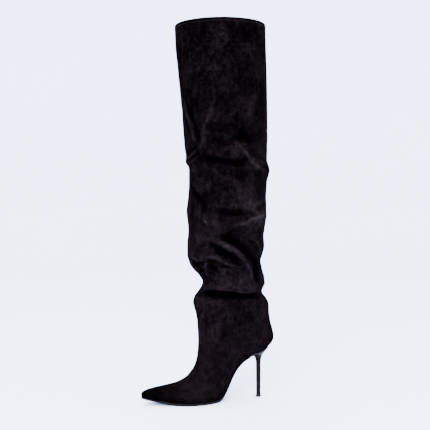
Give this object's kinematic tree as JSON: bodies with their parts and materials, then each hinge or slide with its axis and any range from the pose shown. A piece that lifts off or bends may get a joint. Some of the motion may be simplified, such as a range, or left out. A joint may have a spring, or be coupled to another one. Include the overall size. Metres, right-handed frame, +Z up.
{
  "type": "heeled boot",
  "caption": "Right-foot over-the-knee boot in black suede, with a slouched shaft, a pointed toe and a slim stiletto heel.",
  "frame": {"origin": "middle of the boot's box seen from above, on the floor", "axes": "+Z up; the toe points along -Y; +X is the inner side of the right foot"},
  "size_m": [0.139, 0.2336, 0.6403],
  "materials": {
    "suede": "matte",
    "insole_leather": "matte",
    "outsole": "satin",
    "heel_lacquer": "gloss",
    "top_piece_rubber": "matte"
  },
  "bodies": {
    "root": {"upper": "suede", "insole": "insole_leather", "outsole": "outsole", "heel": "heel_lacquer", "heel_top_piece": "top_piece_rubber"}
  },
  "joints": []
}
